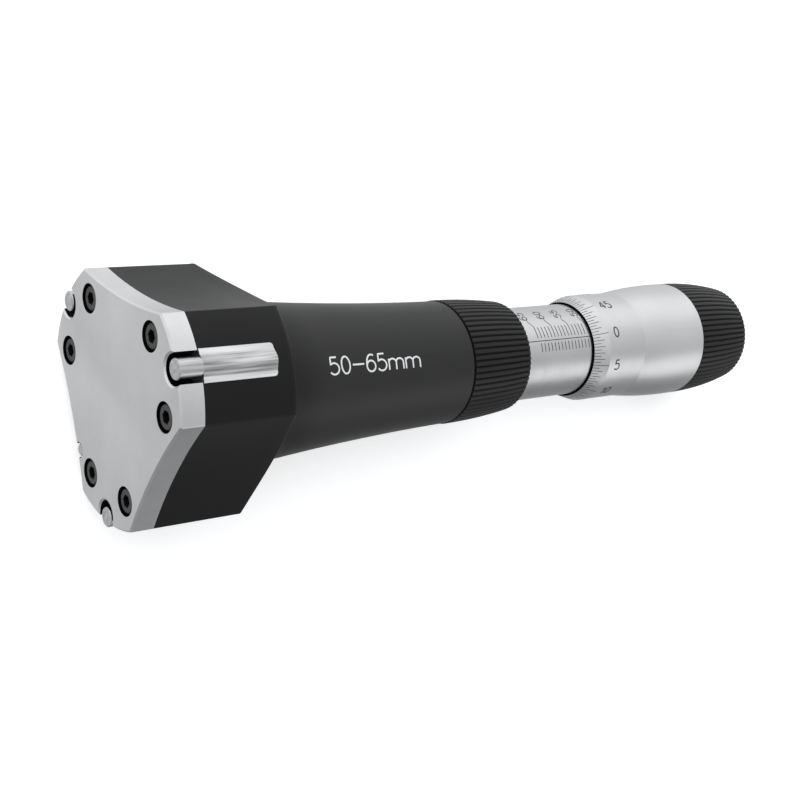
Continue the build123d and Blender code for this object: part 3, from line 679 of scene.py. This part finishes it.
def add_head_back():
    """Closes the head towards the neck with a slope behind each lobe and a soft root."""
    edges = [LOBE_HALF_ANGLE, -LOBE_HALF_ANGLE]
    steps = [ANGLE_STEP * k - SIDE_MIDDLE for k in range(int(THIRD / ANGLE_STEP))]
    angles = sorted(edges + [a for a in steps if min(abs(a - e) for e in edges) > ANGLE_GAP])
    columns = [(tip + a, back_column(a)) for tip in TIPS for a in angles]
    rows = len(columns[0][1])
    vertices = []
    for angle, column in columns:
        for x, radius in column:
            y, z = polar(radius, angle)
            vertices.append((x * MM, y * MM, z * MM))
    faces = []
    for i in range(len(columns)):
        here, there = rows * i, rows * ((i + 1) % len(columns))
        for k in range(rows):
            after = (k + 1) % rows
            faces.append((here + k, here + after, there + after, there + k))
    add_piece("head_back", (vertices, faces), anodised, "housing", smooth_under=25)


add_head_back()


# The measuring ridges: each pin is set in its anvil and both are ground together

RIDGE_HALF_ANGLE = 27.0
RIDGE_STEPS = 16
RIDGE_DEPTH = 0.3


def outward(name, angle):
    """How far each point of a node lies from the axis towards that angle, in millimetres."""
    vertices = frame["nodes"][name].data.vertices
    turn = radians(angle)
    return [(v.co.y * sin(turn) + v.co.z * cos(turn)) / MM for v in vertices]


def add_ridge(number):
    """A low roof over the pin, from one land of the anvil to the other."""
    low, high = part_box(f"anvil_block_{number}")
    angle = THIRD * round(degrees(atan2(low.y + high.y, low.z + high.z)) / THIRD)
    pin = outward(f"anvil_pin_{number}", angle)
    pin_r = (max(pin) - min(pin)) / 2
    centre = max(pin) - pin_r
    land = max(outward(f"anvil_block_{number}", angle))
    slope = radians(RIDGE_HALF_ANGLE)
    run = (centre + pin_r * cos(slope) - land) / (sin(slope) / cos(slope))
    foot = pin_r * sin(slope) + run
    section = [(-foot, land - RIDGE_DEPTH), (-foot, land)]
    for k in range(RIDGE_STEPS + 1):
        a = slope * (2 * k / RIDGE_STEPS - 1)
        section.append((pin_r * sin(a), centre + pin_r * cos(a) + COVER))
    section += [(foot, land), (foot, land - RIDGE_DEPTH)]
    vertices = []
    for x in (low.x, high.x):
        for side, rise in section:
            y, z = polar(rise, angle)
            y += side * cos(radians(angle))
            z -= side * sin(radians(angle))
            vertices.append((x, y * MM, z * MM))
    count = len(section)
    faces = [(k, (k + 1) % count, count + (k + 1) % count, count + k) for k in range(count)]
    faces += [tuple(range(count)), tuple(range(2 * count - 1, count - 1, -1))]
    parts = vertices, faces
    add_piece(f"anvil_ridge_{number}", parts, ridge, f"anvil_{number}", smooth_under=12)


for number in (1, 2, 3):
    add_ridge(number)


# The springs: each one that a joint deforms gets a copy of its own, riding on the ratchet or the
# housing


def add_springs():
    """Puts a piece in place of each spring that the record lets a joint deform."""
    for joint in frame["record"]["behaviour"]["joints"]:
        for row in joint.get("deforming_nodes", []):
            name = row["node"]
            coil = bpy.data.objects.new(f"{name}_wire", frame["nodes"][name].data.copy())
            bpy.context.scene.collection.objects.link(coil)
            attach(coil, "ratchet" if name == "plunger_spring" else "housing")
            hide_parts(name)
            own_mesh(coil)


add_springs()


# Floor and light

FLOOR_SIZE = 6.0
FLOOR_DROP = 0.0002
FLOOR_GLOW = 0.45
HEAD_REACH = 0.03


def add_floor():
    """The floor that the head's flat side and the tail rest on."""
    head = [v.co for v in frame["nodes"]["head_body"].data.vertices]
    cap = [v.co for v in frame["nodes"]["ratchet_cap"].data.vertices]
    low_cap = min(cap, key=lambda p: p.z)
    slope = max((p.z - low_cap.z) / (p.x - low_cap.x) for p in head if p.x < HEAD_REACH)
    bpy.ops.mesh.primitive_plane_add(size=FLOOR_SIZE)
    floor = bpy.context.object
    floor.name = "floor"
    floor.rotation_euler = (0.0, -atan2(slope, 1.0), 0.0)
    floor.location = (low_cap.x, 0.0, low_cap.z - FLOOR_DROP)
    floor.visible_glossy = False
    m = Nodes("floor")
    m.set(Roughness=0.9, Emission_Color=(1.0, 1.0, 1.0, 1.0), Emission_Strength=FLOOR_GLOW)
    cloud = m.noise(m.place(), scale=3.0, detail=2.0)
    m.join(m.ramp(cloud, tint(0.88), tint(0.90)), m.shader.inputs["Base Color"])
    floor.data.materials.append(m.material)


def add_area(name, at, target, size, power):
    data = bpy.data.lights.new(name, "AREA")
    data.shape = "RECTANGLE"
    data.size, data.size_y = size
    data.energy = power
    light = bpy.data.objects.new(name, data)
    back = Vector(at) - Vector(target)
    light.matrix_world = Matrix.Translation(at) @ back.to_track_quat("Z", "Y").to_matrix().to_4x4()
    bpy.context.scene.collection.objects.link(light)


AIR = (0.98, 0.99, 1.0, 1.0)
BACKDROP = 1.05
BRIGHT_SIDE = (-0.2, 0.8, 0.45)
TENT = (-0.75, 0.75, 0.32, 1.25)  # away from and towards the bright side, and the light there
BOUNCE = (-0.5, -0.9, 0.0, 0.17)  # heights of the direction, and the light added there


def add_range(nodes, values):
    """A Map Range node: from these two values to those two."""
    node = nodes.new("ShaderNodeMapRange")
    for name, value in zip(("From Min", "From Max", "To Min", "To Max"), values):
        node.inputs[name].default_value = value
    return node


def add_studio():
    """A tent of soft light: dim low down on the -Y side, bright high up on the +Y side.

    What a pale floor throws back comes from straight below. The camera sees an even backdrop.
    """
    world = bpy.data.worlds.new("studio")
    world.use_nodes = True
    nodes = world.node_tree.nodes
    join = world.node_tree.links.new
    background = nodes["Background"]
    background.inputs["Color"].default_value = AIR
    direction = nodes.new("ShaderNodeTexCoord")
    dot = nodes.new("ShaderNodeVectorMath")
    dot.operation = "DOT_PRODUCT"
    dot.inputs[1].default_value = BRIGHT_SIDE
    level = add_range(nodes, TENT)
    split = nodes.new("ShaderNodeSeparateXYZ")
    bounce = add_range(nodes, BOUNCE)
    total = nodes.new("ShaderNodeMath")
    join(direction.outputs["Generated"], dot.inputs[0])
    join(dot.outputs["Value"], level.inputs["Value"])
    join(direction.outputs["Generated"], split.inputs["Vector"])
    join(split.outputs["Z"], bounce.inputs["Value"])
    join(level.outputs["Result"], total.inputs[0])
    join(bounce.outputs["Result"], total.inputs[1])
    # This Mix node's sockets go by number too: 0 is the share, 2 and 3 are the two values
    shown = nodes.new("ShaderNodeMix")
    shown.inputs[3].default_value = BACKDROP
    join(nodes.new("ShaderNodeLightPath").outputs["Is Camera Ray"], shown.inputs[0])
    join(total.outputs[0], shown.inputs[2])
    join(shown.outputs[0], background.inputs["Strength"])
    bpy.context.scene.world = world


add_camera()
add_floor()
MIDDLE = (0.07, 0.0, 0.0)
add_area("key", at=(0.45, 0.42, 0.26), target=MIDDLE, size=(0.55, 0.45), power=0.24)
add_area("fill", at=(0.45, -0.46, 0.17), target=MIDDLE, size=(0.50, 0.30), power=0.50)
add_studio()
bpy.context.scene.view_settings.view_transform = "Standard"
